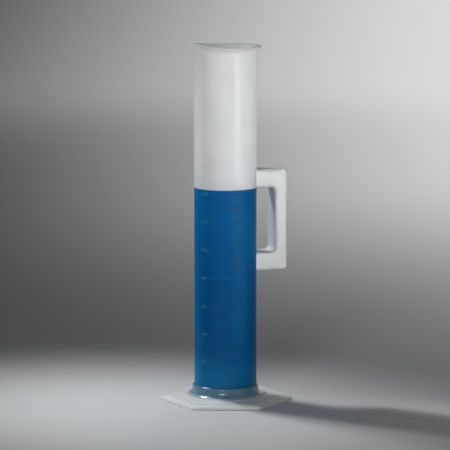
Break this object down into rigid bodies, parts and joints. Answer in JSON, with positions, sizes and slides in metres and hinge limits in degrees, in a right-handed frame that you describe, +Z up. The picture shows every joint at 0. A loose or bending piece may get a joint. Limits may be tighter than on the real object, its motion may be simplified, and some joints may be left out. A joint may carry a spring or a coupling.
{
  "type": "graduated cylinder",
  "caption": "Tall translucent plastic measuring cylinder with a flared lip, pouring spout, raised scale, white box handle and a wide hexagonal foot.",
  "frame": {"origin": "centre of the foot's underside, on the tube's axis", "axes": "+Z up the tube; +X from the axis to the handle, -X to the pouring spout; the scale is on the -Y side, turned a little towards -X"},
  "size_m": [0.1752, 0.1782, 0.499],
  "materials": {
    "tube_plastic": "natural translucent polypropylene, satin outside, slightly milky",
    "foot_plastic": "natural translucent polypropylene, satin, thicker and milkier than the tube",
    "handle_plastic": "opaque white moulded plastic, satin",
    "scale_plastic": "raised moulded lines and numbers, same plastic as the tube"
  },
  "bodies": {
    "root": {"tube": "tube_plastic", "foot": "foot_plastic", "handle": "handle_plastic", "scale_lines_200": "scale_plastic", "scale_lines_100": "scale_plastic", "scale_lines_20": "scale_plastic", "scale_numerals": "scale_plastic"}
  },
  "joints": []
}
